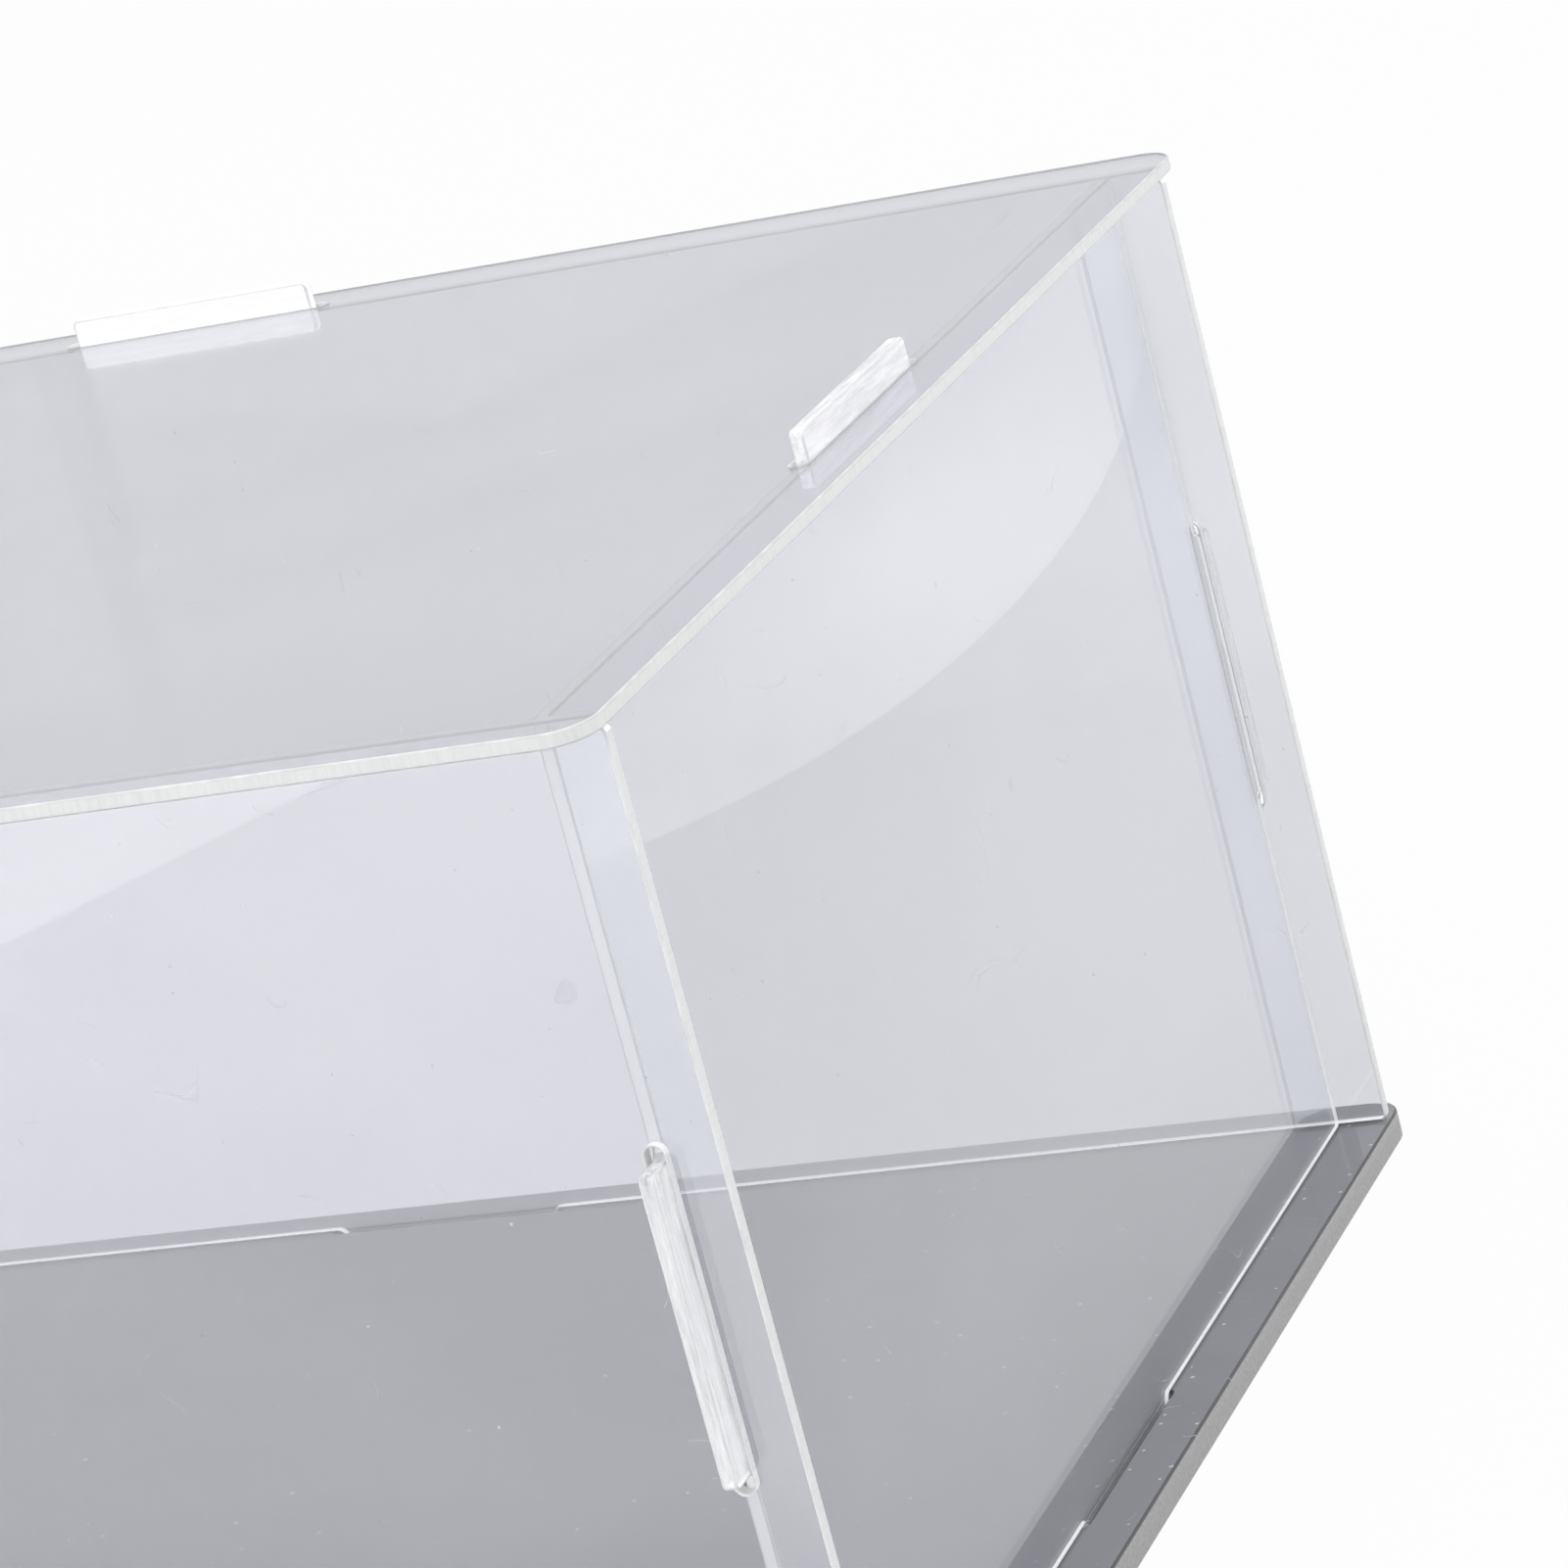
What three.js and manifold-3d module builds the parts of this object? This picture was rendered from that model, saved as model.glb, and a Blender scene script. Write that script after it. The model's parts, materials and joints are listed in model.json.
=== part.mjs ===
// Clear display case: six flat acrylic panels that push together by tabs and slots.
// A black base carries four clear walls, and a clear top closes them. There are no screws, hinges or feet.
// Millimetres, +Z up. The origin is the centre of the base's underside, and the front faces -Y.
import * as THREE from "three";
import { mergeVertices } from "three/addons/utils/BufferGeometryUtils.js";
import Module from "manifold-3d";

const wasm = await Module();
wasm.setup();

// Sheet thicknesses
const CLEAR_SHEET = 2;
const BASE_SHEET = 4.5;

// The room inside, between the walls, the base and the top
const ROOM_WIDTH = 300;
const ROOM_DEPTH = 225;
const ROOM_HEIGHT = 150;

// How far a panel runs past the outer face of the wall that it holds.
// The caps are the base and the top, and the faces are the front and back walls.
const CAP_OVERHANG_SIDE = 8;
const CAP_OVERHANG_FRONT = 7;
const FACE_OVERHANG_SIDE = 7.5;

// Tabs, each in the middle of an edge. They show past the clear sheets that they go through.
const TAB_LENGTH = 41;
const TAB_STANDOUT = 4;
const TAB_TIP_RADIUS = 1;
const TAB_ROOT_RADIUS = 1.5;

// Bottom tabs. They stop short of the base's underside by the recess, so that the base lies flat.
const BOTTOM_TAB_LENGTH = 37.5;
const BOTTOM_TAB_RECESS = 0.3;

// Corners in the plane of a sheet
const CAP_CORNER_RADIUS = 6;
const WALL_CORNER_RADIUS = 1;

// Clearances: on each side of a tab in its slot, and between an edge and the face that it meets
const SLOT_PLAY = 0.25;
const SEAT_GAP = 0.2;

// Fineness of round corners: half the number of segments in an arc
const CURVE_SEGMENTS = 4;

// Sizes that follow from those above
const quarterTurn = Math.PI / 2;
const faceWidth = ROOM_WIDTH + 2 * (CLEAR_SHEET + FACE_OVERHANG_SIDE);
const sideWidth = ROOM_DEPTH - 2 * SEAT_GAP;
const wallHeight = ROOM_HEIGHT - 2 * SEAT_GAP;
const capWidth = ROOM_WIDTH + 2 * (CLEAR_SHEET + CAP_OVERHANG_SIDE);
const capDepth = ROOM_DEPTH + 2 * (CLEAR_SHEET + CAP_OVERHANG_FRONT);
const throughTab = { length: TAB_LENGTH, reach: SEAT_GAP + CLEAR_SHEET + TAB_STANDOUT };
const bottomTab = { length: BOTTOM_TAB_LENGTH, reach: SEAT_GAP + BASE_SHEET - BOTTOM_TAB_RECESS };

// Half the width of a slot, and how far the corner of a tab could reach into the slot's round end
const slotRadius = CLEAR_SHEET / 2 + SLOT_PLAY;
const slotEndRoom = Math.sqrt(slotRadius ** 2 - (CLEAR_SHEET / 2) ** 2);

// Middle planes of the upright sheets, and the height of their middle and of the top's underside
const faceOffset = (ROOM_DEPTH + CLEAR_SHEET) / 2;
const sideOffset = (ROOM_WIDTH + CLEAR_SHEET) / 2;
const wallMiddle = BASE_SHEET + ROOM_HEIGHT / 2;
const topUnderside = BASE_SHEET + ROOM_HEIGHT;

// Outline of a sheet centred on the origin, traced counter-clockwise as arcs joined by straight lines.
// tabs holds the tab on the bottom, right, top and left edge. Null is a plain edge.
function sheetShape(width, height, cornerRadius, tabs) {
  const shape = new THREE.Shape();
  tabs.forEach((tab, edge) => {
    const ahead = edge * quarterTurn;
    const outward = ahead - quarterTurn;
    const behind = ahead + 2 * quarterTurn;
    const inward = ahead + quarterTurn;
    const [run, depth] = edge % 2 === 0 ? [width, height] : [height, width];

    // An arc whose centre lies s along the edge from its middle and n outside the edge
    const arc = (s, n, radius, from, to, clockwise = false) => {
      const x = s * Math.cos(ahead) + (depth / 2 + n) * Math.cos(outward);
      const y = s * Math.sin(ahead) + (depth / 2 + n) * Math.sin(outward);
      shape.absarc(x, y, radius, from, to, clockwise);
    };

    if (tab) {
      const half = tab.length / 2;
      const tip = Math.min(TAB_TIP_RADIUS, tab.reach - TAB_ROOT_RADIUS);
      arc(-half - TAB_ROOT_RADIUS, TAB_ROOT_RADIUS, TAB_ROOT_RADIUS, inward, ahead, true);
      arc(-half + tip, tab.reach - tip, tip, behind, behind + quarterTurn);
      arc(half - tip, tab.reach - tip, tip, outward, ahead);
      arc(half + TAB_ROOT_RADIUS, TAB_ROOT_RADIUS, TAB_ROOT_RADIUS, behind, inward, true);
    }
    arc(run / 2 - cornerRadius, -cornerRadius, cornerRadius, outward, ahead);
  });
  return shape;
}

function extrude(shape, depth) {
  return new THREE.ExtrudeGeometry(shape, { depth, curveSegments: CURVE_SEGMENTS, bevelEnabled: false });
}

// A block with round ends that cuts the slot for a tab at (x, y), with room for the fillets at the tab's root
function slotBlock(x, y, upright, tab, sheet) {
  const end = tab.length / 2 + TAB_ROOT_RADIUS + SLOT_PLAY - slotEndRoom;
  const shape = new THREE.Shape();
  shape.absarc(end, 0, slotRadius, -quarterTurn, quarterTurn);
  shape.absarc(-end, 0, slotRadius, quarterTurn, 3 * quarterTurn);
  const turn = upright ? quarterTurn : 0;
  return extrude(shape, 3 * sheet).rotateZ(turn).translate(x, y, -sheet);
}

// A closed geometry as a solid that can be cut
function solidOf(geometry) {
  const bare = new THREE.BufferGeometry();
  bare.setAttribute("position", geometry.getAttribute("position"));
  bare.setIndex(geometry.getIndex());
  const merged = mergeVertices(bare);
  const mesh = new wasm.Mesh({
    numProp: 3,
    vertProperties: merged.getAttribute("position").array,
    triVerts: new Uint32Array(merged.getIndex().array),
  });
  return new wasm.Manifold(mesh);
}

// The geometry with every block taken out of it
function cut(geometry, blocks) {
  const solid = blocks.reduce((rest, block) => rest.subtract(solidOf(block)), solidOf(geometry));
  const mesh = solid.getMesh();
  const result = new THREE.BufferGeometry();
  result.setAttribute("position", new THREE.BufferAttribute(mesh.vertProperties, mesh.numProp));
  result.setIndex(new THREE.BufferAttribute(mesh.triVerts, 1));
  const faceted = result.toNonIndexed();
  faceted.computeVertexNormals();
  return faceted;
}

// The base and the top: plain edges, with one slot for the tab of each wall
function capGeometry(sheet, tab) {
  const shape = sheetShape(capWidth, capDepth, CAP_CORNER_RADIUS, [null, null, null, null]);
  const slots = [-1, 1].flatMap((side) => [
    slotBlock(0, side * faceOffset, false, tab, sheet),
    slotBlock(side * sideOffset, 0, true, tab, sheet),
  ]);
  return cut(extrude(shape, sheet), slots);
}

// The front and back walls: a tab at the bottom and the top, and a slot near each end for a side wall
function faceGeometry() {
  const shape = sheetShape(faceWidth, wallHeight, WALL_CORNER_RADIUS, [bottomTab, null, throughTab, null]);
  const slots = [-1, 1].map((side) => slotBlock(side * sideOffset, 0, true, throughTab, CLEAR_SHEET));
  return stand(cut(extrude(shape, CLEAR_SHEET), slots));
}

// The side walls: a tab on every edge
function sideGeometry() {
  const tabs = [bottomTab, throughTab, throughTab, throughTab];
  return stand(extrude(sheetShape(sideWidth, wallHeight, WALL_CORNER_RADIUS, tabs), CLEAR_SHEET));
}

// Stands a flat sheet upright on its bottom edge, with its thickness centred on the XZ plane
function stand(geometry) {
  return geometry.translate(0, 0, -CLEAR_SHEET / 2).rotateX(quarterTurn);
}

function clearAcrylic() {
  return new THREE.MeshStandardMaterial({
    color: 0xd6dae2,
    roughness: 0.04,
    metalness: 0,
    transparent: true,
    opacity: 0.3,
  });
}

function blackAcrylic() {
  return new THREE.MeshStandardMaterial({ color: 0x0b0b0d, roughness: 0.06, metalness: 0 });
}

const displayCase = new THREE.Group();

function addPanel(name, geometry, material, x, y, z, turn = 0) {
  const panel = new THREE.Mesh(geometry, material);
  panel.name = name;
  panel.position.set(x, y, z);
  panel.rotation.z = turn;
  displayCase.add(panel);
}

addPanel("base_panel", capGeometry(BASE_SHEET, bottomTab), blackAcrylic(), 0, 0, 0);
addPanel("front_panel", faceGeometry(), clearAcrylic(), 0, -faceOffset, wallMiddle);
addPanel("back_panel", faceGeometry(), clearAcrylic(), 0, faceOffset, wallMiddle);
addPanel("left_panel", sideGeometry(), clearAcrylic(), -sideOffset, 0, wallMiddle, quarterTurn);
addPanel("right_panel", sideGeometry(), clearAcrylic(), sideOffset, 0, wallMiddle, quarterTurn);
addPanel("top_panel", capGeometry(CLEAR_SHEET, throughTab), clearAcrylic(), 0, 0, topUnderside);

export default displayCase;
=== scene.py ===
"""Looks of the clear display case: acrylic sheets, cut edges, a black base, soft light and a camera."""
import json
import math

import bmesh
import bpy
from mathutils import Matrix, Vector
from mathutils.geometry import tessellate_polygon


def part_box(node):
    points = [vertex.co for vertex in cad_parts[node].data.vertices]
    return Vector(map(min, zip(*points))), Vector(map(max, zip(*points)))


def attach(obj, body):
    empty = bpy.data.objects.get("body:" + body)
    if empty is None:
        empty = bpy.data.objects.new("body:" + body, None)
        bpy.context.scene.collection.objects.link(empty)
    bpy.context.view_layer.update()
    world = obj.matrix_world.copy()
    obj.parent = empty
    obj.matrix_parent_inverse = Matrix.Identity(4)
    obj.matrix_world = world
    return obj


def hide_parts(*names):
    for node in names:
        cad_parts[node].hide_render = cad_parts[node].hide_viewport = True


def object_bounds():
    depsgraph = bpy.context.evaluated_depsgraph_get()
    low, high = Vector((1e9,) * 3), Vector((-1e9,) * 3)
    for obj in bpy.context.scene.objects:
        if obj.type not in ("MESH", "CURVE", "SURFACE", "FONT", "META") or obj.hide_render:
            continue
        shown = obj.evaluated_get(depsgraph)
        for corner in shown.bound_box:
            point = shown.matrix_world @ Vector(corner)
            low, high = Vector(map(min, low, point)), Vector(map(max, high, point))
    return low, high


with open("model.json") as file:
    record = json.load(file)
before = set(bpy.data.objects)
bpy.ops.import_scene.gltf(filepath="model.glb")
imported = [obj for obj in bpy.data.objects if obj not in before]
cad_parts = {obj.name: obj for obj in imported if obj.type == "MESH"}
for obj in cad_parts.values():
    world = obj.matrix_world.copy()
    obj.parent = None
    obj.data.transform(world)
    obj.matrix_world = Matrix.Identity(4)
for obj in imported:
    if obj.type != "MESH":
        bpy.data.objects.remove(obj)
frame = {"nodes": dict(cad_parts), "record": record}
cad_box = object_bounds()

MM = 0.001
UP = Vector((0.0, 0.0, 1.0))
ACROSS = Vector((1.0, 0.0, 0.0))
AWAY = Vector((0.0, 1.0, 0.0))
WHITE = (1.0, 1.0, 1.0)

# Panel meshes: the arris is the small round between a face and a cut edge
CLEAR_ARRIS = 0.28 * MM
BLACK_ARRIS = 0.35 * MM
ARRIS_SEGMENTS = 3
WELD = 0.001 * MM
FLAT = math.cos(math.radians(1))

# Places of the materials on a panel. An inner edge is a wall's cut edge that meets another panel.
# A tab has a place for each direction that it can run in.
SHEET, EDGE, ARRIS, INNER_EDGE, TAB = range(5)
MEETING_DEPTH = 1.0 * MM

# A mask goes from none of a finish to all of it
MASK = 0.0, 1.0

# Clear acrylic, its tint to the eye and its tint to light from a lamp
ACRYLIC_IOR = 1.49
CLEAR_TINT = (0.775, 0.78, 0.815)
LAMP_TINT = (0.97, 0.97, 0.97)

# Cut edges of the clear sheets, each between a colour and a shade
CUT_EDGE_COLOUR = (0.76, 0.77, 0.77)
CUT_EDGE_SHADE = (0.70, 0.71, 0.71)
# Inner edges are painted paler than the other cut edges: painted light for the light that the panels
# around them keep off
INNER_EDGE_COLOUR = (0.93, 0.935, 0.925)
INNER_EDGE_SHADE = (0.87, 0.88, 0.865)
EDGE_ROUGHNESS = 0.25, 0.5
EDGE_SPECULAR = 0.2
EDGE_LINE_STRETCH = 0.08

# An arris takes its colour from the direction in which its sheet is thin. The top's arrises are darker:
# painted shade for the dark line along the top's outline.
ARRIS_COLOURS = (0.79, 0.80, 0.80), (0.79, 0.80, 0.80), (0.60, 0.61, 0.61)

# Painted glow: emission that stands in for light running inside the clear sheets, shown at their edges
# and on their tabs, painted stronger in the walls than in the top
EDGE_GLOW_COLOUR = (1.0, 1.0, 0.99)
WALL_GLOW = 0.6
TOP_GLOW = 0.02
# Painted glow of upright edges, as a share of that of level ones
UPRIGHT_GLOW_SHARE = 0.45
# Painted glow on the outer side of the inner edges
INNER_OUTSIDE_GLOW = 0.18
# Painted glow in the scuffs of the tabs
TAB_GLOW = 0.4

# Least and most of a tab's face that is scuffed, for tabs that run along X, Y and Z. The scuffs also
# carry the tabs' painted glow, so more scuff paints a tab brighter.
TAB_SCUFFS = (0.8, 1.0), (0.3, 0.65), (0.25, 0.6)
TAB_STREAK_STRETCH = 0.12
SCUFF_COLOUR = (0.69, 0.69, 0.705)

# Dust. Specks have a spacing and a largest radius, and their rims fade over a share of that radius.
# Hairs have the scale and the width of their lines, and the share of the surface that holds them.
# The marks on a sheet are the strength of its specks and of its hairs.
DUST_COLOUR = (0.73, 0.745, 0.80)
DUST_ROUGHNESS = 0.9
SPECK_SIZE_POWER = 2.0
SPECK_RIM = 0.3
HAIR_PATCHES = 2.7
HAIR_PATCH_FADE = 0.02
CLEAR_SPECKS = 4.5 * MM, 0.3 * MM
CLEAR_HAIRS = 45.0, 0.0035, 0.27
CLEAR_HAIR_SHIFT = (0.3, 0.1, 0.7)
CLEAR_MARKS = 0.6, 0.4
BLACK_SPECKS = 5.5 * MM, 0.45 * MM
BLACK_HAIRS = 65.0, 0.007, 0.34
BLACK_HAIR_SHIFT = (0.2, 0.5, 0.0)
BLACK_MARKS = 0.7, 0.5

# Wiped haze on the clear faces
WIPE_STRETCH = (5.0, 24.0, 20.0)
WIPE_TURN = (0.0, 0.0, -0.6)
HAZE = 0.065, 0.125

# Black acrylic, with the least and most of its dust film on the faces and on the arrises
BLACK_COLOUR = (0.012, 0.012, 0.014)
BLACK_ROUGHNESS = 0.02, 0.09
BLACK_EDGE_COLOUR = (0.29, 0.285, 0.29)
BLACK_EDGE_SCUFF = (0.38, 0.375, 0.38)
SMEAR_STRETCH = (14.0, 40.0, 20.0)
FACE_FILM = 0.27, 0.31
ARRIS_FILM = 0.04, 0.07

# Camera, as a place, a direction and a roll
PHOTO_SIDE = 1601
SENSOR_WIDTH = 36.0
FOCAL_PIXELS = 6635.5
CAMERA_PLACE = Vector((0.47119, -0.75958, 0.35560))
CAMERA_FORWARD = Vector((-0.39483, 0.87322, -0.28564))
CAMERA_UP = Vector((0.1198, 0.35718, 0.92632))

# Studio
WORLD_LEVEL = 0.7
LAMP_AIM = Vector((0.0, 0.0, 0.08))
FLOOR_SIDE = 12.0
FLOOR_COLOUR = (0.55, 0.55, 0.55)
FLOOR_SHADE = (0.5, 0.5, 0.5)
FLOOR_GRAIN = 0.04
FLOOR_WHITE_SHARE = 0.97

# Cards: the share of a card that fades at its border, and where its fade toward the case starts and ends.
# The card behind the back wall's strip stands off by a gap, and aside by the drift of the view over it.
CARD_BORDER = 0.01
CARD_FAR = -0.62
CARD_NEAR = -0.36
OVERHANG_CARD_GAP = 2.5 * MM
OVERHANG_CARD_DRIFT = 0.95 * MM


def new_material(name):
    """A material with an empty node tree, and the socket that its shader goes to."""
    material = bpy.data.materials.new(name)
    material.use_nodes = True
    tree = material.node_tree
    tree.nodes.clear()
    output = tree.nodes.new("ShaderNodeOutputMaterial")
    return material, tree, output.inputs["Surface"]


def put(tree, kind, settings=None, **inputs):
    """Adds a node. Each input is a plain value or the socket that feeds it, named with _ for a space."""
    node = tree.nodes.new(kind)
    for name, value in (settings or {}).items():
        setattr(node, name, value)
    for name, value in inputs.items():
        socket = node.inputs[name.replace("_", " ")]
        if isinstance(value, bpy.types.NodeSocket):
            tree.links.new(value, socket)
        elif socket.type == "RGBA":
            socket.default_value = (*value, 1.0)
        else:
            socket.default_value = value
    return node


def maths(tree, operation, first, second=0.0):
    """The result of a math node on two values or sockets."""
    node = tree.nodes.new("ShaderNodeMath")
    node.operation = operation
    for socket, value in zip(node.inputs, (first, second)):
        if isinstance(value, bpy.types.NodeSocket):
            tree.links.new(value, socket)
        else:
            socket.default_value = value
    return node.outputs[0]


def spread(tree, value, span, result):
    """The value mapped from its span onto the span of the result, and held at both ends."""
    node = put(
        tree,
        "ShaderNodeMapRange",
        Value=value,
        From_Min=span[0],
        From_Max=span[1],
        To_Min=result[0],
        To_Max=result[1],
    )
    return node.outputs["Result"]


def place(tree, stretch=(1.0, 1.0, 1.0), shift=(0.0, 0.0, 0.0), turn=(0.0, 0.0, 0.0)):
    """Coordinates fixed to the piece, in metres, turned, scaled and moved."""
    coordinates = tree.nodes.new("ShaderNodeTexCoord")
    turned = put(tree, "ShaderNodeMapping", Vector=coordinates.outputs["Object"], Rotation=turn)
    mapping = put(
        tree, "ShaderNodeMapping", Vector=turned.outputs["Vector"], Scale=stretch, Location=shift
    )
    return mapping.outputs["Vector"]


def along(axis, share):
    """A stretch that draws a pattern out along one axis: a share of 0.1 makes it ten times as long."""
    return [share if index == axis else 1.0 for index in range(3)]


def noise(tree, vector, scale, detail=2.0, roughness=0.5):
    node = put(tree, "ShaderNodeTexNoise", Vector=vector, Scale=scale, Detail=detail, Roughness=roughness)
    return node.outputs["Fac"]


def blend(tree, share, first, second):
    """A colour between two colours."""
    return put(tree, "ShaderNodeMixRGB", Fac=share, Color1=first, Color2=second).outputs["Color"]


def mixed(tree, share, first, second):
    """A shader between two shaders."""
    node = put(tree, "ShaderNodeMixShader", Fac=share)
    tree.links.new(first, node.inputs[1])
    tree.links.new(second, node.inputs[2])
    return node.outputs["Shader"]


def either(tree, first, second):
    """The stronger of two masks at each place."""
    return maths(tree, "MAXIMUM", first, second)


def specks(tree, vector, spacing, radius, spread_in="3D"):
    """A mask of dust specks about spacing apart, of mixed sizes up to radius. In 2D they lie on XY."""
    cells = put(
        tree, "ShaderNodeTexVoronoi", {"voronoi_dimensions": spread_in}, Vector=vector, Scale=1 / spacing
    )
    chance = put(tree, "ShaderNodeSeparateColor", Color=cells.outputs["Color"])
    share = maths(tree, "POWER", chance.outputs["Red"], SPECK_SIZE_POWER)
    largest = radius / spacing
    reach = maths(tree, "MULTIPLY", share, largest)
    inside = maths(tree, "SUBTRACT", reach, cells.outputs["Distance"])
    return spread(tree, inside, (0.0, SPECK_RIM * largest), MASK)


def hairs(tree, vector, scale, width, share):
    """A mask of fine curved scratches: the contour lines of a noise, kept only in a few patches."""
    level = noise(tree, vector, scale, detail=1.0)
    away = maths(tree, "ABSOLUTE", maths(tree, "SUBTRACT", level, 0.5))
    line = spread(tree, away, (0.0, width), (1.0, 0.0))
    patch = noise(tree, vector, HAIR_PATCHES * scale, detail=0.0)
    bare = 1.0 - share
    kept = spread(tree, patch, (bare, bare + HAIR_PATCH_FADE), MASK)
    return maths(tree, "MULTIPLY", line, kept)


def marks(tree, dots, lines, strengths):
    """A mask of specks and hairs, each at its own strength."""
    faint_dots = maths(tree, "MULTIPLY", dots, strengths[0])
    faint_lines = maths(tree, "MULTIPLY", lines, strengths[1])
    return either(tree, faint_dots, faint_lines)


def let_lamps_through(tree, shader):
    """The shader as it is seen, and a clear one for the rays that ask whether a lamp is in sight."""
    path = tree.nodes.new("ShaderNodeLightPath")
    clear = put(tree, "ShaderNodeBsdfTransparent", Color=LAMP_TINT)
    return mixed(tree, path.outputs["Is Shadow Ray"], shader, clear.outputs[0])


def dusted(tree, shader, mask, colour=DUST_COLOUR, glow=0.0):
    """The shader with pale dust or scuffs where the mask says. Scuffs carry a painted glow, emission that
    stands in for light from the sheet.
    """
    dust = put(
        tree,
        "ShaderNodeBsdfPrincipled",
        Base_Color=colour,
        Roughness=DUST_ROUGHNESS,
        Emission_Color=WHITE,
        Emission_Strength=glow,
    )
    return mixed(tree, mask, shader, dust.outputs[0])


def clear_glass(tree):
    """Polished acrylic with a faint grey tint."""
    glass = put(
        tree,
        "ShaderNodeBsdfPrincipled",
        Base_Color=CLEAR_TINT,
        Roughness=0.0,
        IOR=ACRYLIC_IOR,
        Transmission_Weight=1.0,
    )
    return glass.outputs[0]


def clear_sheet():
    """The face of a clear sheet: polished, with a thin wiped haze, dust specks and hair scratches."""
    material, tree, surface = new_material("clear_sheet")
    wipes = noise(tree, place(tree, WIPE_STRETCH, turn=WIPE_TURN), scale=1.0, detail=3.0)
    haze = spread(tree, wipes, (0.35, 0.7), HAZE)
    dots = specks(tree, place(tree), *CLEAR_SPECKS)
    lines = hairs(tree, place(tree, shift=CLEAR_HAIR_SHIFT), *CLEAR_HAIRS)
    dust = either(tree, marks(tree, dots, lines, CLEAR_MARKS), haze)
    shader = dusted(tree, clear_glass(tree), dust)
    tree.links.new(let_lamps_through(tree, shader), surface)
    return material


def clear_tab(axis):
    """The face of a tab that runs along an axis: rubbed milky by its slot, in streaks along the tab, with
    a painted glow in the scuffs.
    """
    material, tree, surface = new_material(f"clear_tab_{'xyz'[axis]}")
    stretch = along(axis, TAB_STREAK_STRETCH)
    streaks = noise(tree, place(tree, stretch), scale=700.0, detail=3.0, roughness=0.6)
    scuffs = spread(tree, streaks, (0.35, 0.65), TAB_SCUFFS[axis])
    shader = dusted(tree, clear_glass(tree), scuffs, SCUFF_COLOUR, TAB_GLOW)
    tree.links.new(let_lamps_through(tree, shader), surface)
    return material


def painted_edge_glow(tree, glow, outside_glow=0.0):
    """A painted glow, emission that stands in for light running inside a sheet: strongest inside level
    edges, weaker in upright ones, with a set glow on the outer side.
    """
    side = tree.nodes.new("ShaderNodeNewGeometry")
    parts = put(tree, "ShaderNodeSeparateXYZ", Vector=side.outputs["Normal"])
    level = maths(tree, "ABSOLUTE", parts.outputs["Z"])
    inside = spread(tree, level, (0.0, 1.0), (UPRIGHT_GLOW_SHARE * glow, glow))
    return spread(tree, side.outputs["Backfacing"], (0.0, 1.0), (outside_glow, inside))


def clear_edge(name, axis, colour, shade, glow, outside_glow=0.0):
    """The cut edge of a clear sheet: milky, with fine lines across the sheet's thickness and a painted
    glow.
    """
    material, tree, surface = new_material(f"{name}_{'xyz'[axis]}")
    lines = noise(tree, place(tree, along(axis, EDGE_LINE_STRETCH)), scale=2200.0, detail=2.0)
    bump = put(tree, "ShaderNodeBump", Strength=0.04, Distance=0.05 * MM, Height=lines)
    milky = put(
        tree,
        "ShaderNodeBsdfPrincipled",
        Base_Color=blend(tree, spread(tree, lines, (0.3, 0.7), MASK), colour, shade),
        Roughness=spread(tree, lines, (0.3, 0.7), EDGE_ROUGHNESS),
        IOR=ACRYLIC_IOR,
        Specular_IOR_Level=EDGE_SPECULAR,
        Normal=bump.outputs["Normal"],
        Emission_Color=EDGE_GLOW_COLOUR,
        Emission_Strength=painted_edge_glow(tree, glow, outside_glow),
    )
    tree.links.new(milky.outputs[0], surface)
    return material


def clear_arris(axis, glow):
    """The arris of a clear sheet: a pale line, a little uneven, with a painted glow."""
    material, tree, surface = new_material(f"clear_arris_{'xyz'[axis]}")
    wear = noise(tree, place(tree), scale=300.0, detail=2.0)
    worn = spread(tree, wear, (0.4, 0.7), MASK)
    pale = put(
        tree,
        "ShaderNodeBsdfPrincipled",
        Base_Color=blend(tree, worn, ARRIS_COLOURS[axis], CUT_EDGE_SHADE),
        Roughness=0.3,
        IOR=ACRYLIC_IOR,
        Specular_IOR_Level=EDGE_SPECULAR,
        Emission_Color=EDGE_GLOW_COLOUR,
        Emission_Strength=painted_edge_glow(tree, glow),
    )
    tree.links.new(pale.outputs[0], surface)
    return material


def black_sheet(name, film):
    """Polished black acrylic with specks, hairs and a film of dust between the two given shares."""
    material, tree, surface = new_material(name)
    smears = noise(tree, place(tree, SMEAR_STRETCH), scale=1.0, detail=4.0)
    gloss = put(
        tree,
        "ShaderNodeBsdfPrincipled",
        Base_Color=BLACK_COLOUR,
        Roughness=spread(tree, smears, (0.3, 0.75), BLACK_ROUGHNESS),
        IOR=ACRYLIC_IOR,
        Coat_Weight=0.35,
        Coat_Roughness=0.02,
        Coat_IOR=ACRYLIC_IOR,
    )
    dots = specks(tree, place(tree), *BLACK_SPECKS, spread_in="2D")
    lines = hairs(tree, place(tree, shift=BLACK_HAIR_SHIFT), *BLACK_HAIRS)
    thin_film = spread(tree, smears, (0.3, 0.7), film)
    dust = either(tree, marks(tree, dots, lines, BLACK_MARKS), thin_film)
    tree.links.new(dusted(tree, gloss.outputs[0], dust), surface)
    return material


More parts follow.
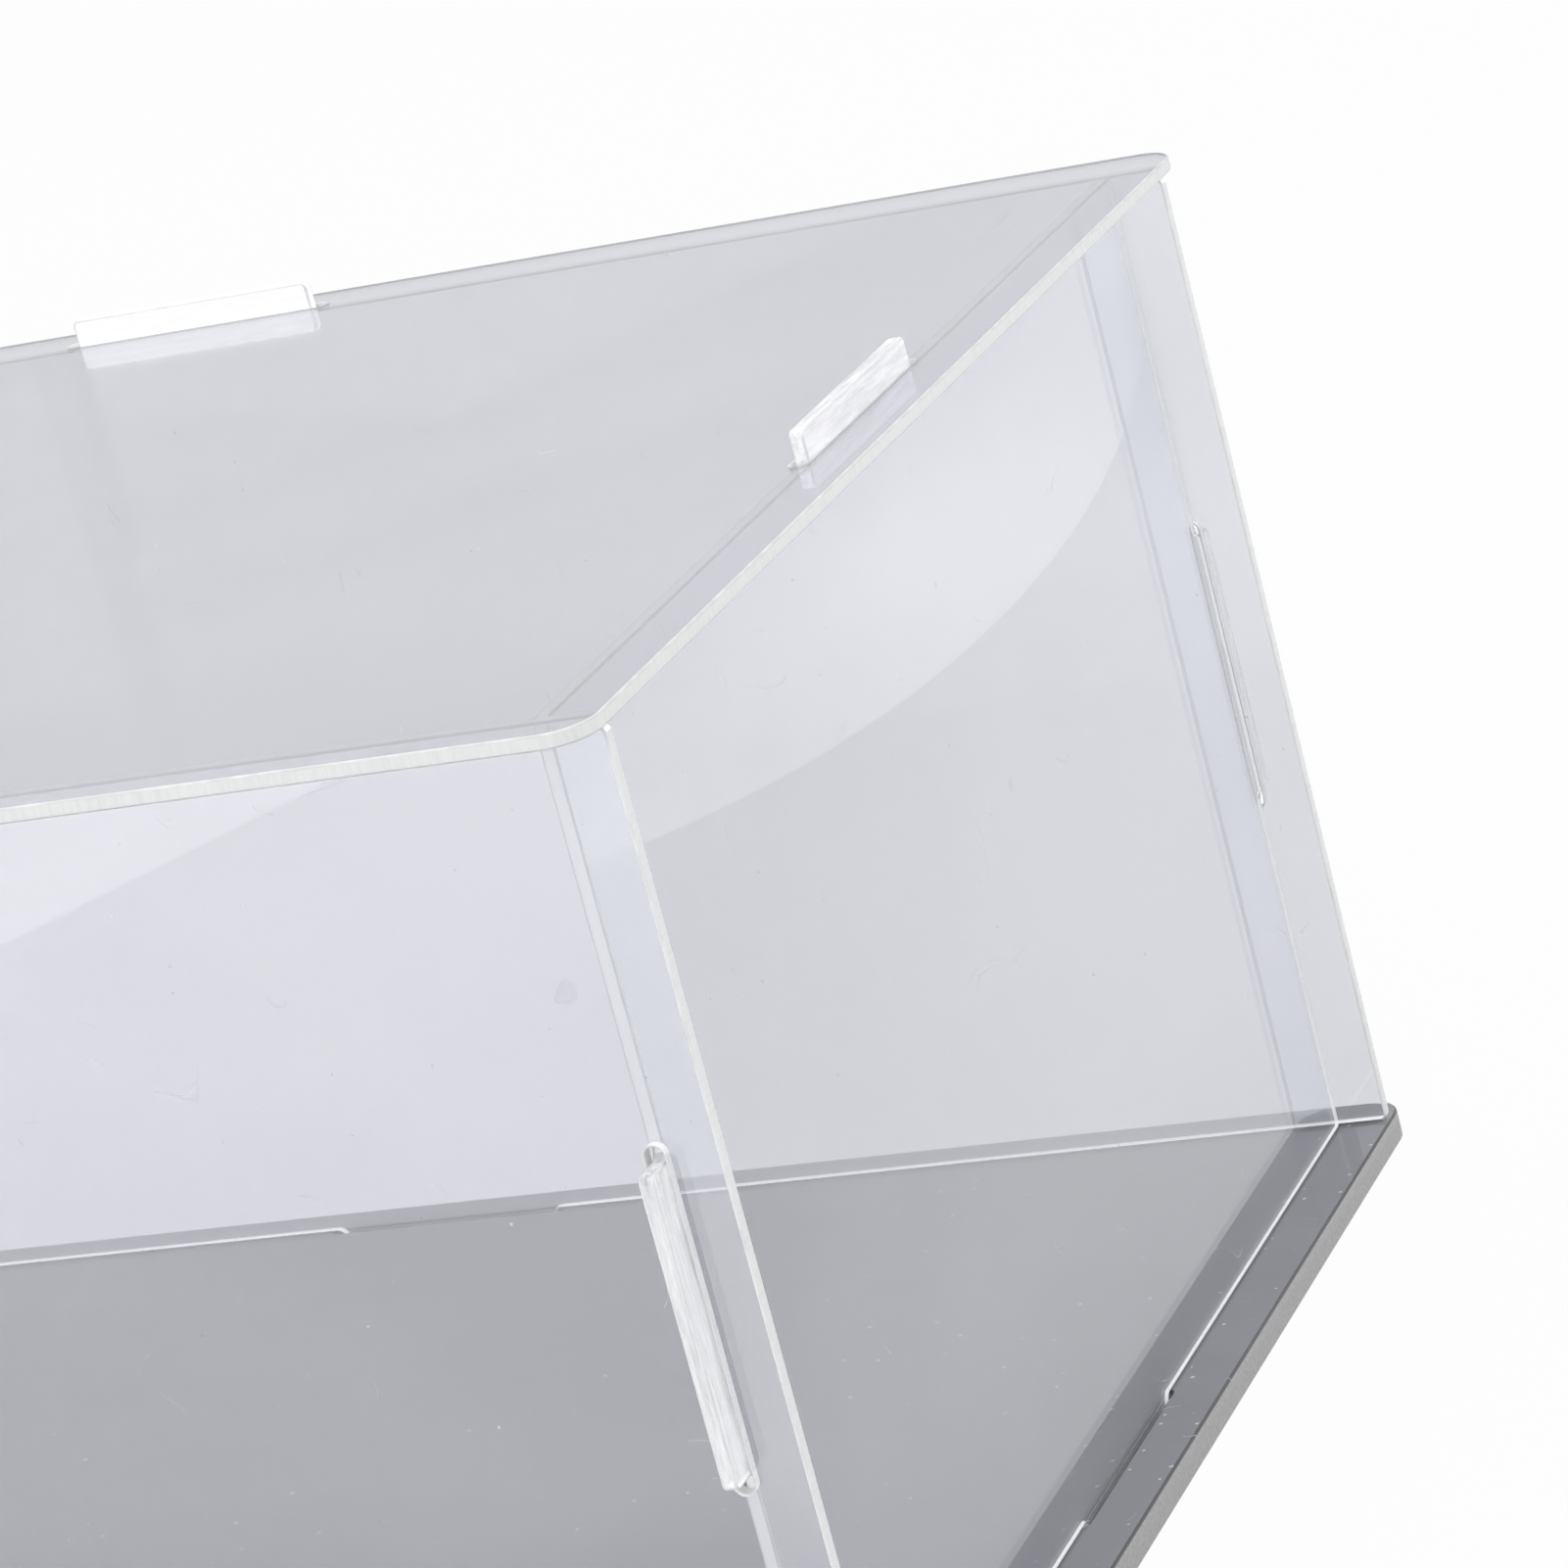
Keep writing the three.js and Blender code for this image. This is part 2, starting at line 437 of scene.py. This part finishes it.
def black_edge():
    """The cut edge of the black sheet: satin, greyer than the face and scuffed in spots."""
    material, tree, surface = new_material("black_cut_edge")
    lines = noise(tree, place(tree, along(2, EDGE_LINE_STRETCH)), scale=700.0, detail=2.0)
    bump = put(tree, "ShaderNodeBump", Strength=0.06, Distance=0.1 * MM, Height=lines)
    spots = noise(tree, place(tree), scale=1400.0, detail=3.0, roughness=0.6)
    scuffed = spread(tree, spots, (0.35, 0.65), MASK)
    satin = put(
        tree,
        "ShaderNodeBsdfPrincipled",
        Base_Color=blend(tree, scuffed, BLACK_EDGE_COLOUR, BLACK_EDGE_SCUFF),
        Roughness=0.4,
        IOR=ACRYLIC_IOR,
        Normal=bump.outputs["Normal"],
    )
    tree.links.new(satin.outputs[0], surface)
    return material


def thickness_axis(node):
    """0, 1 or 2: the direction in which a panel is thinnest."""
    low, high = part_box(node)
    size = high - low
    return min(range(3), key=lambda axis: size[axis])


def room_between():
    """The lowest and highest corners of the space that the six panels close in."""
    low_sides = "left_panel", "front_panel", "base_panel"
    high_sides = "right_panel", "back_panel", "top_panel"
    lowest = Vector([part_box(node)[1][axis] for axis, node in enumerate(low_sides)])
    highest = Vector([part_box(node)[0][axis] for axis, node in enumerate(high_sides)])
    return lowest, highest


def tab_axes(axis):
    """Directions in which a panel's tabs stand out.

    Side walls, thin along X, go through faces and caps. Faces, thin along Y, go through caps.
    """
    return range(axis + 1, 3)


def in_plane(spot, axis):
    """A spot in space, as a point of the plane of a panel."""
    return Vector((spot[(axis + 1) % 3], spot[(axis + 2) % 3]))


def lifted(point, level, axis):
    """A point of a panel's plane, in space."""
    spot = Vector((0.0, 0.0, 0.0))
    spot[(axis + 1) % 3], spot[(axis + 2) % 3] = point
    spot[axis] = level
    return spot


def outlines(node, axis):
    """The closed outlines of a panel and its slots: points in its plane, with the sheet on their left."""
    shape = bmesh.new()
    shape.from_mesh(frame["nodes"][node].data)
    bmesh.ops.remove_doubles(shape, verts=shape.verts, dist=WELD)
    shape.normal_update()
    steps = {}
    for face in shape.faces:
        for corner in face.loops:
            if face.normal[axis] > FLAT > corner.link_loop_radial_next.face.normal[axis]:
                steps[corner.vert.index] = corner.link_loop_next.vert.index
    points = [in_plane(vert.co, axis) for vert in shape.verts]
    shape.free()
    found = []
    while steps:
        first, here = steps.popitem()
        loop = [points[first]]
        while here != first:
            loop.append(points[here])
            here = steps.pop(here)
        found.append(loop)
    return found


def inset(loop, distance):
    """An outline moved into the sheet by a distance."""
    moved = []
    for before, point, after in zip(loop[-1:] + loop[:-1], loop, loop[1:] + loop[:1]):
        coming = (point - before).normalized()
        going = (after - point).normalized()
        inward = coming.orthogonal() + going.orthogonal()
        moved.append(point + inward * (distance / (1.0 + coming.dot(going))))
    return moved


def rings(loop, low, high, arris):
    """Copies of an outline with their levels: over one arris, down the cut edge and round the other."""
    upper = []
    for step in range(ARRIS_SEGMENTS + 1):
        turn = math.pi / 2 * step / ARRIS_SEGMENTS
        ring = inset(loop, arris * (1 - math.sin(turn)))
        upper.append((ring, high - arris * (1 - math.cos(turn))))
    lower = [(ring, low + high - level) for ring, level in reversed(upper)]
    return upper + lower


def wrap_edge(shape, stack):
    """Faces from each ring of points to the next: arrises, with the cut edge in the middle."""
    for step, (above, below) in enumerate(zip(stack, stack[1:])):
        for index in range(len(above)):
            corners = above[index - 1], below[index - 1], below[index], above[index]
            shape.faces.new(corners).material_index = EDGE if step == ARRIS_SEGMENTS else ARRIS


def fill_face(shape, loops, axis):
    """A flat face inside the first ring of points and outside the others."""
    corners = [corner for loop in loops for corner in loop]
    flat = [[in_plane(corner.co, axis) for corner in loop] for loop in loops]
    for triangle in tessellate_polygon(flat):
        shape.faces.new([corners[index] for index in triangle]).material_index = SHEET


def part_tabs(shape, axis, room):
    """Divides the faces of a panel where its tabs start."""
    for outward in tab_axes(axis):
        for corner in room:
            everything = [*shape.verts, *shape.edges, *shape.faces]
            normal = Matrix.Identity(3)[outward]
            bmesh.ops.bisect_plane(shape, geom=everything, plane_co=corner, plane_no=normal)
    bmesh.ops.remove_doubles(shape, verts=shape.verts, dist=WELD)


def mark_tabs_and_meetings(shape, axis, room):
    """Gives the tabs that show, and a wall's cut edges that meet another panel, their own materials."""
    for face in shape.faces:
        middle = face.calc_center_median()
        shown = middle[2] > room[0][2]
        for outward in tab_axes(axis):
            run = 3 - axis - outward
            depth = min(middle[outward] - room[0][outward], room[1][outward] - middle[outward])
            if shown and depth < 0.0 and face.material_index in (SHEET, EDGE):
                face.material_index = TAB + run
            if face.material_index == EDGE and depth < MEETING_DEPTH:
                face.material_index = INNER_EDGE


def shade_smooth(shape):
    """Smooth shading, broken only where one material meets another."""
    for face in shape.faces:
        face.smooth = True
    for edge in shape.edges:
        edge.smooth = len({face.material_index for face in edge.link_faces}) == 1


def panel_mesh(node, axis, arris):
    """The panel's own shape with round arrises, and each face marked with its material."""
    low, high = (corner[axis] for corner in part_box(node))
    shape = bmesh.new()
    stacks = []
    for loop in outlines(node, axis):
        stack = []
        for ring, level in rings(loop, low, high, arris):
            stack.append([shape.verts.new(lifted(point, level, axis)) for point in ring])
        wrap_edge(shape, stack)
        stacks.append(stack)
    fill_face(shape, [stack[0] for stack in stacks], axis)
    fill_face(shape, [stack[-1] for stack in stacks], axis)
    bmesh.ops.recalc_face_normals(shape, faces=shape.faces)
    room = room_between()
    part_tabs(shape, axis, room)
    mark_tabs_and_meetings(shape, axis, room)
    shade_smooth(shape)
    mesh = bpy.data.meshes.new(node + "_dressed")
    shape.to_mesh(mesh)
    shape.free()
    return mesh


def dress_panel(node, axis, body, arris, finishes):
    """Puts the finished panel in place of the plain one. finishes are its materials in their places."""
    mesh = panel_mesh(node, axis, arris)
    for finish in finishes:
        mesh.materials.append(finish)
    piece = bpy.data.objects.new("dressed_" + node, mesh)
    bpy.context.scene.collection.objects.link(piece)
    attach(piece, body)
    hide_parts(node)


def clear_finishes():
    """For each direction in which a clear sheet can be thin, its materials in their places."""
    face = clear_sheet()
    tabs = [clear_tab(axis) for axis in range(3)]
    finishes = []
    # Painted glow for each direction: strong in the walls, almost none in the top
    for axis, glow in enumerate((WALL_GLOW, WALL_GLOW, TOP_GLOW)):
        edge = clear_edge("clear_edge", axis, CUT_EDGE_COLOUR, CUT_EDGE_SHADE, glow)
        arris = clear_arris(axis, glow)
        inner = clear_edge("inner_edge", axis, INNER_EDGE_COLOUR, INNER_EDGE_SHADE, glow, INNER_OUTSIDE_GLOW)
        finishes.append([face, edge, arris, inner, *tabs])
    return finishes


def black_finishes():
    """The materials of the black sheet in their places."""
    return [black_sheet("black_sheet", FACE_FILM), black_edge(), black_sheet("black_arris", ARRIS_FILM)]


def dress_case():
    clear = clear_finishes()
    black = black_finishes()
    for body, nodes in frame["record"]["behaviour"]["bodies"].items():
        for node in nodes:
            axis = thickness_axis(node)
            if node == "base_panel":
                dress_panel(node, axis, body, BLACK_ARRIS, black)
            else:
                dress_panel(node, axis, body, CLEAR_ARRIS, clear[axis])


def floor_finish():
    """White paper: white to the eye and in the panels, with the case's shadow still on it."""
    material, tree, surface = new_material("white_paper")
    path = tree.nodes.new("ShaderNodeLightPath")
    seen = either(tree, path.outputs["Is Camera Ray"], path.outputs["Is Glossy Ray"])
    seen = either(tree, seen, path.outputs["Is Transmission Ray"])
    grain = noise(tree, place(tree), scale=400.0, detail=2.0)
    shade = blend(tree, maths(tree, "MULTIPLY", grain, FLOOR_GRAIN), FLOOR_COLOUR, FLOOR_SHADE)
    paper = put(tree, "ShaderNodeBsdfDiffuse", Color=shade)
    white = put(tree, "ShaderNodeEmission", Color=WHITE, Strength=1.0)
    share = maths(tree, "MULTIPLY", seen, FLOOR_WHITE_SHARE)
    tree.links.new(mixed(tree, share, paper.outputs[0], white.outputs[0]), surface)
    return material


def add_floor():
    half = FLOOR_SIDE / 2
    mesh = bpy.data.meshes.new("floor")
    corners = [(-half, -half, 0.0), (half, -half, 0.0), (half, half, 0.0), (-half, half, 0.0)]
    mesh.from_pydata(corners, [], [(0, 1, 2, 3)])
    mesh.materials.append(floor_finish())
    floor = bpy.data.objects.new("floor", mesh)
    bpy.context.scene.collection.objects.link(floor)
    floor.location.z = cad_box[0][2]


def add_world():
    world = bpy.data.worlds.new("studio")
    world.use_nodes = True
    background = world.node_tree.nodes["Background"]
    background.inputs["Color"].default_value = (*WHITE, 1.0)
    background.inputs["Strength"].default_value = WORLD_LEVEL
    bpy.context.scene.world = world


def add_softbox(name, spot, facing, size, radiance, width_along=None, shape="RECTANGLE", imaged=True):
    """An area lamp of even brightness. Its width lies level, unless width_along gives another direction.

    A lamp that isn't imaged gives its light but doesn't show as a shape in the panels.
    """
    lamp = bpy.data.lights.new(name, "AREA")
    lamp.shape = shape
    lamp.size, lamp.size_y = size
    area = size[0] * size[1] * (math.pi / 4 if shape == "ELLIPSE" else 1.0)
    lamp.energy = radiance * math.pi * area
    holder = bpy.data.objects.new(name, lamp)
    back = -facing.normalized()
    width = (width_along or UP.cross(back)).normalized()
    turn = Matrix((width, back.cross(width), back)).transposed()
    holder.matrix_world = Matrix.Translation(spot) @ turn.to_4x4()
    holder.visible_camera = False
    holder.visible_glossy = imaged
    holder.visible_transmission = imaged
    bpy.context.scene.collection.objects.link(holder)
    return lamp


def add_lamps():
    """Soft light from above, the right and the front."""
    for name, spot, size, radiance in (
        ("overhead", Vector((-0.2, -0.2, 1.8)), (2.0, 2.0), 1.0),
        ("right_side", Vector((1.3, 0.2, 0.8)), (1.2, 1.2), 1.7),
        ("front", Vector((-0.3, -1.2, 0.9)), (1.6, 1.2), 1.6),
    ):
        add_softbox(name, spot, LAMP_AIM - spot, size, radiance, imaged=False)


def card_fade(tree, near_share, border):
    """How bright a card is from place to place: less toward the case, and nothing at its very border."""
    spot = tree.nodes.new("ShaderNodeNewGeometry")
    parts = put(tree, "ShaderNodeSeparateXYZ", Vector=spot.outputs["Position"])
    fade = spread(tree, parts.outputs["Y"], (CARD_FAR, CARD_NEAR), (1.0, near_share))
    shares = put(tree, "ShaderNodeSeparateXYZ", Vector=spot.outputs["Parametric"])
    for name in ("X", "Y"):
        share = shares.outputs[name]
        inside = maths(tree, "MINIMUM", share, maths(tree, "SUBTRACT", 1.0, share))
        fade = maths(tree, "MULTIPLY", fade, spread(tree, inside, (0.0, border), MASK))
    return fade


def add_card(name, spot, facing, size, radiance, near_share=1.0, border=CARD_BORDER, **form):
    """A card that shows only as a mirror image in the panels, and lights nothing.

    near_share is its brightness on the side of the case, and border the share of it that fades out.
    """
    lamp = add_softbox(name, spot, facing, size, radiance, **form)
    lamp.use_nodes = True
    tree = lamp.node_tree
    path = tree.nodes.new("ShaderNodeLightPath")
    mirrored = maths(tree, "GREATER_THAN", path.outputs["Glossy Depth"], 0.5)
    undimmed = maths(tree, "LESS_THAN", path.outputs["Diffuse Depth"], 0.5)
    shown = maths(tree, "MULTIPLY", mirrored, undimmed)
    strength = maths(tree, "MULTIPLY", shown, card_fade(tree, near_share, border))
    tree.links.new(strength, tree.nodes["Emission"].inputs["Strength"])


def add_wall_card():
    """A round card that stands off the right wall and shows as its pale patch."""
    add_card(
        "wall_card",
        spot=Vector((0.3816, 0.2301, 0.1131)),
        facing=Vector((-0.395, -0.873, 0.286)),
        size=(0.354, 0.189),
        radiance=0.34,
        width_along=Vector((-0.919, 0.379, -0.111)),
        shape="ELLIPSE",
    )


def add_front_card():
    """A wide card on the floor before the front wall."""
    add_card(
        "front_card",
        spot=Vector((-0.09, -0.5, 0.003)),
        facing=UP,
        size=(0.8, 0.74),
        radiance=3.2,
        near_share=0.72,
        border=0.15,
        width_along=ACROSS,
    )


def add_side_card():
    """A long card on the floor beside the right wall."""
    add_card(
        "side_card",
        spot=Vector((0.27, 0.23, 0.003)),
        facing=UP,
        size=(0.3, 0.85),
        radiance=0.28,
        border=0.25,
        width_along=ACROSS,
    )


def add_overhang_card():
    """A card close behind the strip of the back wall that runs past the right wall."""
    wall_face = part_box("right_panel")[1].x
    strip_end, strip_back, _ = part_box("back_panel")[1]
    lowest, highest = room_between()
    add_card(
        "overhang_card",
        spot=Vector((
            (wall_face + strip_end) / 2 + OVERHANG_CARD_DRIFT,
            strip_back + OVERHANG_CARD_GAP,
            (lowest.z + highest.z) / 2,
        )),
        facing=-AWAY,
        size=(strip_end - wall_face, highest.z - lowest.z),
        radiance=0.45,
    )


def add_corner_card():
    """A card on the floor that shows as a pale corner at the upper left of the front wall."""
    add_card(
        "corner_card",
        spot=Vector((-0.2345, -0.5967, 0.004)),
        facing=UP,
        size=(0.33, 0.2),
        radiance=1.15,
        width_along=Vector((0.447, -0.895, 0.0)),
    )


def add_camera():
    camera = bpy.data.cameras.new("photo_camera")
    camera.sensor_width = SENSOR_WIDTH
    camera.lens = SENSOR_WIDTH * FOCAL_PIXELS / PHOTO_SIDE
    camera.clip_start = 0.01
    holder = bpy.data.objects.new("photo_camera", camera)
    back = -CAMERA_FORWARD.normalized()
    right = CAMERA_UP.cross(back).normalized()
    turn = Matrix((right, back.cross(right), back)).transposed()
    holder.matrix_world = Matrix.Translation(CAMERA_PLACE) @ turn.to_4x4()
    bpy.context.scene.collection.objects.link(holder)
    bpy.context.scene.camera = holder


def set_rendering():
    scene = bpy.context.scene
    scene.view_settings.view_transform = "Standard"
    scene.cycles.max_bounces = 24
    scene.cycles.transmission_bounces = 24
    scene.cycles.glossy_bounces = 12
    scene.cycles.transparent_max_bounces = 32


add_camera()
dress_case()
add_floor()
add_world()
add_lamps()
add_wall_card()
add_front_card()
add_side_card()
add_overhang_card()
add_corner_card()
set_rendering()
